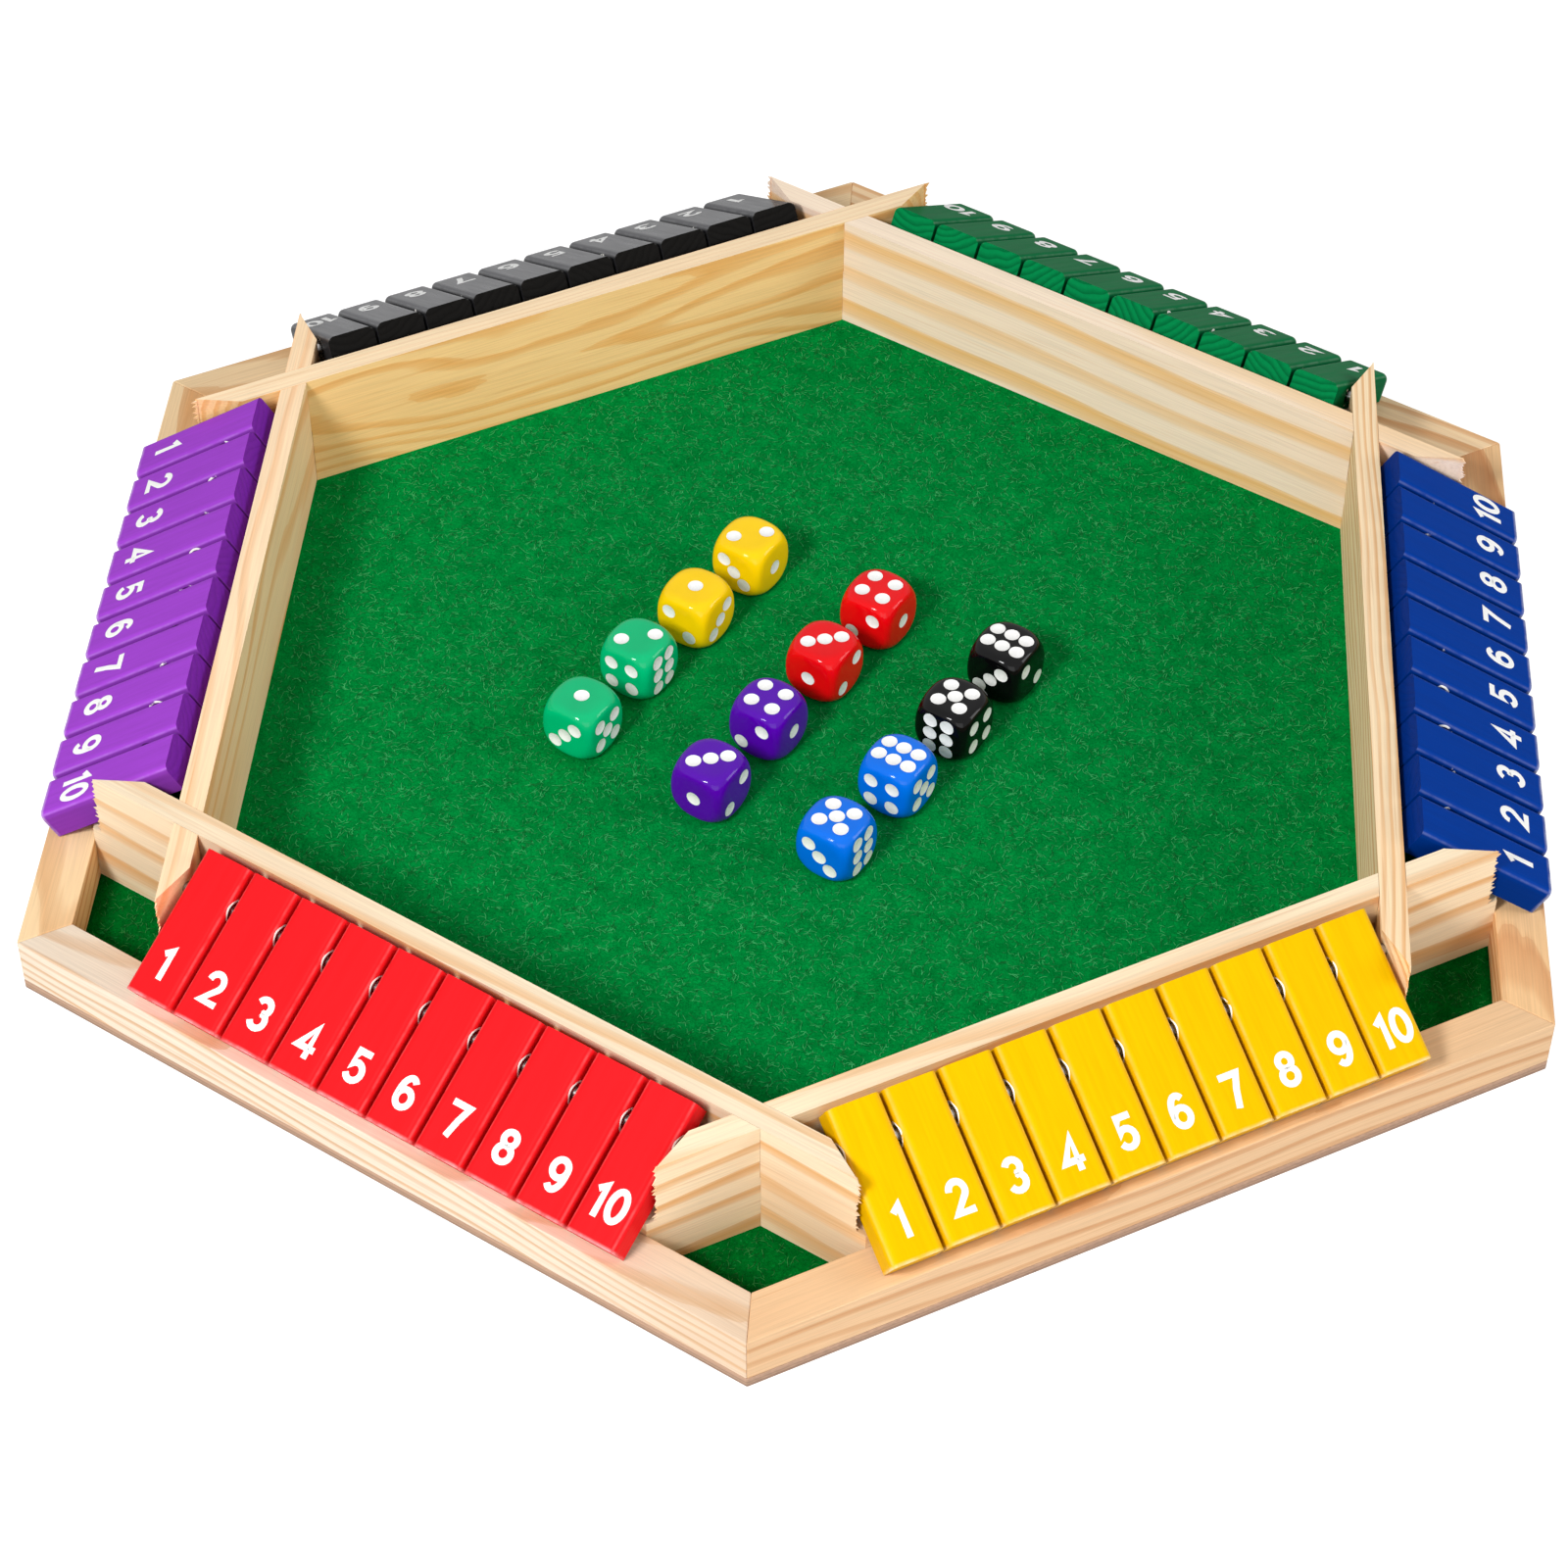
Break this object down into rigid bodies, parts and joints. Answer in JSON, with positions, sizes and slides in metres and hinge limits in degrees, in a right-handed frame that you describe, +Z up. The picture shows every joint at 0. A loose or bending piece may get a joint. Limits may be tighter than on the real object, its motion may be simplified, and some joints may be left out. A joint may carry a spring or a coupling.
{
  "type": "shut the box game",
  "caption": "Hexagonal wooden dice game: felt-lined well, walls crossing at the corners, and behind each wall a row of numbered tiles that flip over on a steel rod.",
  "frame": {"origin": "middle of the base board's underside, where the box stands on the table", "axes": "+Z up; +X towards the corner between the yellow and blue rows; -Y towards the red row, whose numbers read from there"},
  "size_m": [0.4318, 0.3754, 0.043],
  "materials": {
    "plywood": "raw, sanded",
    "pine": "raw, sanded",
    "felt": "brushed",
    "steel": "drawn",
    "red_paint": "painted, semi-gloss",
    "yellow_paint": "painted, semi-gloss",
    "blue_paint": "painted, semi-gloss",
    "green_paint": "painted, semi-gloss",
    "black_paint": "painted, semi-gloss",
    "purple_paint": "painted, semi-gloss",
    "red_plastic": "polished",
    "yellow_plastic": "polished",
    "blue_plastic": "polished",
    "green_plastic": "polished",
    "black_plastic": "polished",
    "purple_plastic": "polished"
  },
  "bodies": {
    "frame": {"base_board": "plywood", "felt_sheet": "felt", "rail_red": "pine", "rail_yellow": "pine", "rail_blue": "pine", "rail_green": "pine", "rail_black": "pine", "rail_purple": "pine", "wall_red": "pine", "wall_yellow": "pine", "wall_blue": "pine", "wall_green": "pine", "wall_black": "pine", "wall_purple": "pine", "rod_red": "steel", "rod_yellow": "steel", "rod_blue": "steel", "rod_green": "steel", "rod_black": "steel", "rod_purple": "steel"},
    "tile_red_01": {"tile_red_01": "red_paint"},
    "tile_red_02": {"tile_red_02": "red_paint"},
    "tile_red_03": {"tile_red_03": "red_paint"},
    "tile_red_04": {"tile_red_04": "red_paint"},
    "tile_red_05": {"tile_red_05": "red_paint"},
    "tile_red_06": {"tile_red_06": "red_paint"},
    "tile_red_07": {"tile_red_07": "red_paint"},
    "tile_red_08": {"tile_red_08": "red_paint"},
    "tile_red_09": {"tile_red_09": "red_paint"},
    "tile_red_10": {"tile_red_10": "red_paint"},
    "tile_yellow_01": {"tile_yellow_01": "yellow_paint"},
    "tile_yellow_02": {"tile_yellow_02": "yellow_paint"},
    "tile_yellow_03": {"tile_yellow_03": "yellow_paint"},
    "tile_yellow_04": {"tile_yellow_04": "yellow_paint"},
    "tile_yellow_05": {"tile_yellow_05": "yellow_paint"},
    "tile_yellow_06": {"tile_yellow_06": "yellow_paint"},
    "tile_yellow_07": {"tile_yellow_07": "yellow_paint"},
    "tile_yellow_08": {"tile_yellow_08": "yellow_paint"},
    "tile_yellow_09": {"tile_yellow_09": "yellow_paint"},
    "tile_yellow_10": {"tile_yellow_10": "yellow_paint"},
    "tile_blue_01": {"tile_blue_01": "blue_paint"},
    "tile_blue_02": {"tile_blue_02": "blue_paint"},
    "tile_blue_03": {"tile_blue_03": "blue_paint"},
    "tile_blue_04": {"tile_blue_04": "blue_paint"},
    "tile_blue_05": {"tile_blue_05": "blue_paint"},
    "tile_blue_06": {"tile_blue_06": "blue_paint"},
    "tile_blue_07": {"tile_blue_07": "blue_paint"},
    "tile_blue_08": {"tile_blue_08": "blue_paint"},
    "tile_blue_09": {"tile_blue_09": "blue_paint"},
    "tile_blue_10": {"tile_blue_10": "blue_paint"},
    "tiles_green": {"tiles_green": "green_paint"},
    "tiles_black": {"tiles_black": "black_paint"},
    "tiles_purple": {"tiles_purple": "purple_paint"},
    "dice_red": {"dice_red": "red_plastic"},
    "dice_yellow": {"dice_yellow": "yellow_plastic"},
    "dice_blue": {"dice_blue": "blue_plastic"},
    "dice_green": {"dice_green": "green_plastic"},
    "dice_black": {"dice_black": "black_plastic"},
    "dice_purple": {"dice_purple": "purple_plastic"}
  },
  "joints": [
    {"name": "tile_red_01_flip", "type": "hinge", "parent": "frame", "child": "tile_red_01", "pos_m": [-0.06512, -0.1611, 0.03436], "axis": [-1, 0, 0], "range_deg": [0, 166.5]},
    {"name": "tile_red_02_flip", "type": "hinge", "parent": "frame", "child": "tile_red_02", "pos_m": [-0.05065, -0.1611, 0.03436], "axis": [-1, 0, 0], "range_deg": [0, 166.5]},
    {"name": "tile_red_03_flip", "type": "hinge", "parent": "frame", "child": "tile_red_03", "pos_m": [-0.03617, -0.1611, 0.03436], "axis": [-1, 0, 0], "range_deg": [0, 166.5]},
    {"name": "tile_red_04_flip", "type": "hinge", "parent": "frame", "child": "tile_red_04", "pos_m": [-0.0217, -0.1611, 0.03436], "axis": [-1, 0, 0], "range_deg": [0, 166.5]},
    {"name": "tile_red_05_flip", "type": "hinge", "parent": "frame", "child": "tile_red_05", "pos_m": [-0.00724, -0.1611, 0.03436], "axis": [-1, 0, 0], "range_deg": [0, 166.5]},
    {"name": "tile_red_06_flip", "type": "hinge", "parent": "frame", "child": "tile_red_06", "pos_m": [0.00724, -0.1611, 0.03436], "axis": [-1, 0, 0], "range_deg": [0, 166.5]},
    {"name": "tile_red_07_flip", "type": "hinge", "parent": "frame", "child": "tile_red_07", "pos_m": [0.0217, -0.1611, 0.03436], "axis": [-1, 0, 0], "range_deg": [0, 166.5]},
    {"name": "tile_red_08_flip", "type": "hinge", "parent": "frame", "child": "tile_red_08", "pos_m": [0.03617, -0.1611, 0.03436], "axis": [-1, 0, 0], "range_deg": [0, 166.5]},
    {"name": "tile_red_09_flip", "type": "hinge", "parent": "frame", "child": "tile_red_09", "pos_m": [0.05065, -0.1611, 0.03436], "axis": [-1, 0, 0], "range_deg": [0, 166.5]},
    {"name": "tile_red_10_flip", "type": "hinge", "parent": "frame", "child": "tile_red_10", "pos_m": [0.06512, -0.1611, 0.03436], "axis": [-1, 0, 0], "range_deg": [0, 166.5]},
    {"name": "tile_yellow_01_flip", "type": "hinge", "parent": "frame", "child": "tile_yellow_01", "pos_m": [0.10696, -0.13694, 0.03436], "axis": [-0.5, -0.866, 0], "range_deg": [0, 166.5]},
    {"name": "tile_yellow_02_flip", "type": "hinge", "parent": "frame", "child": "tile_yellow_02", "pos_m": [0.1142, -0.12441, 0.03436], "axis": [-0.5, -0.866, 0], "range_deg": [0, 166.5]},
    {"name": "tile_yellow_03_flip", "type": "hinge", "parent": "frame", "child": "tile_yellow_03", "pos_m": [0.12143, -0.11188, 0.03436], "axis": [-0.5, -0.866, 0], "range_deg": [0, 166.5]},
    {"name": "tile_yellow_04_flip", "type": "hinge", "parent": "frame", "child": "tile_yellow_04", "pos_m": [0.12867, -0.09935, 0.03436], "axis": [-0.5, -0.866, 0], "range_deg": [0, 166.5]},
    {"name": "tile_yellow_05_flip", "type": "hinge", "parent": "frame", "child": "tile_yellow_05", "pos_m": [0.1359, -0.08682, 0.03436], "axis": [-0.5, -0.866, 0], "range_deg": [0, 166.5]},
    {"name": "tile_yellow_06_flip", "type": "hinge", "parent": "frame", "child": "tile_yellow_06", "pos_m": [0.14314, -0.07429, 0.03436], "axis": [-0.5, -0.866, 0], "range_deg": [0, 166.5]},
    {"name": "tile_yellow_07_flip", "type": "hinge", "parent": "frame", "child": "tile_yellow_07", "pos_m": [0.15037, -0.06175, 0.03436], "axis": [-0.5, -0.866, 0], "range_deg": [0, 166.5]},
    {"name": "tile_yellow_08_flip", "type": "hinge", "parent": "frame", "child": "tile_yellow_08", "pos_m": [0.15761, -0.04922, 0.03436], "axis": [-0.5, -0.866, 0], "range_deg": [0, 166.5]},
    {"name": "tile_yellow_09_flip", "type": "hinge", "parent": "frame", "child": "tile_yellow_09", "pos_m": [0.16484, -0.03669, 0.03436], "axis": [-0.5, -0.866, 0], "range_deg": [0, 166.5]},
    {"name": "tile_yellow_10_flip", "type": "hinge", "parent": "frame", "child": "tile_yellow_10", "pos_m": [0.17208, -0.02416, 0.03436], "axis": [-0.5, -0.866, 0], "range_deg": [0, 166.5]},
    {"name": "tile_blue_01_flip", "type": "hinge", "parent": "frame", "child": "tile_blue_01", "pos_m": [0.17208, 0.02416, 0.03436], "axis": [0.5, -0.866, 0], "range_deg": [0, 166.5]},
    {"name": "tile_blue_02_flip", "type": "hinge", "parent": "frame", "child": "tile_blue_02", "pos_m": [0.16484, 0.03669, 0.03436], "axis": [0.5, -0.866, 0], "range_deg": [0, 166.5]},
    {"name": "tile_blue_03_flip", "type": "hinge", "parent": "frame", "child": "tile_blue_03", "pos_m": [0.15761, 0.04922, 0.03436], "axis": [0.5, -0.866, 0], "range_deg": [0, 166.5]},
    {"name": "tile_blue_04_flip", "type": "hinge", "parent": "frame", "child": "tile_blue_04", "pos_m": [0.15037, 0.06175, 0.03436], "axis": [0.5, -0.866, 0], "range_deg": [0, 166.5]},
    {"name": "tile_blue_05_flip", "type": "hinge", "parent": "frame", "child": "tile_blue_05", "pos_m": [0.14314, 0.07429, 0.03436], "axis": [0.5, -0.866, 0], "range_deg": [0, 166.5]},
    {"name": "tile_blue_06_flip", "type": "hinge", "parent": "frame", "child": "tile_blue_06", "pos_m": [0.1359, 0.08682, 0.03436], "axis": [0.5, -0.866, 0], "range_deg": [0, 166.5]},
    {"name": "tile_blue_07_flip", "type": "hinge", "parent": "frame", "child": "tile_blue_07", "pos_m": [0.12867, 0.09935, 0.03436], "axis": [0.5, -0.866, 0], "range_deg": [0, 166.5]},
    {"name": "tile_blue_08_flip", "type": "hinge", "parent": "frame", "child": "tile_blue_08", "pos_m": [0.12143, 0.11188, 0.03436], "axis": [0.5, -0.866, 0], "range_deg": [0, 166.5]},
    {"name": "tile_blue_09_flip", "type": "hinge", "parent": "frame", "child": "tile_blue_09", "pos_m": [0.1142, 0.12441, 0.03436], "axis": [0.5, -0.866, 0], "range_deg": [0, 166.5]},
    {"name": "tile_blue_10_flip", "type": "hinge", "parent": "frame", "child": "tile_blue_10", "pos_m": [0.10696, 0.13694, 0.03436], "axis": [0.5, -0.866, 0], "range_deg": [0, 166.5]},
    {"name": "tiles_green_flip", "type": "hinge", "parent": "frame", "child": "tiles_green", "pos_m": [0, 0.1611, 0.03436], "axis": [1, 0, 0], "range_deg": [0, 166.5]},
    {"name": "tiles_black_flip", "type": "hinge", "parent": "frame", "child": "tiles_black", "pos_m": [-0.13952, 0.08055, 0.03436], "axis": [0.5, 0.866, 0], "range_deg": [0, 166.5]},
    {"name": "tiles_purple_flip", "type": "hinge", "parent": "frame", "child": "tiles_purple", "pos_m": [-0.13952, -0.08055, 0.03436], "axis": [-0.5, 0.866, 0], "range_deg": [0, 166.5]},
    {"name": "dice_red_lift", "type": "slide", "parent": "frame", "child": "dice_red", "axis": [0, 0, 1], "range_m": [0, 0.05]},
    {"name": "dice_yellow_lift", "type": "slide", "parent": "frame", "child": "dice_yellow", "axis": [0, 0, 1], "range_m": [0, 0.05]},
    {"name": "dice_blue_lift", "type": "slide", "parent": "frame", "child": "dice_blue", "axis": [0, 0, 1], "range_m": [0, 0.05]},
    {"name": "dice_green_lift", "type": "slide", "parent": "frame", "child": "dice_green", "axis": [0, 0, 1], "range_m": [0, 0.05]},
    {"name": "dice_black_lift", "type": "slide", "parent": "frame", "child": "dice_black", "axis": [0, 0, 1], "range_m": [0, 0.05]},
    {"name": "dice_purple_lift", "type": "slide", "parent": "frame", "child": "dice_purple", "axis": [0, 0, 1], "range_m": [0, 0.05]}
  ]
}
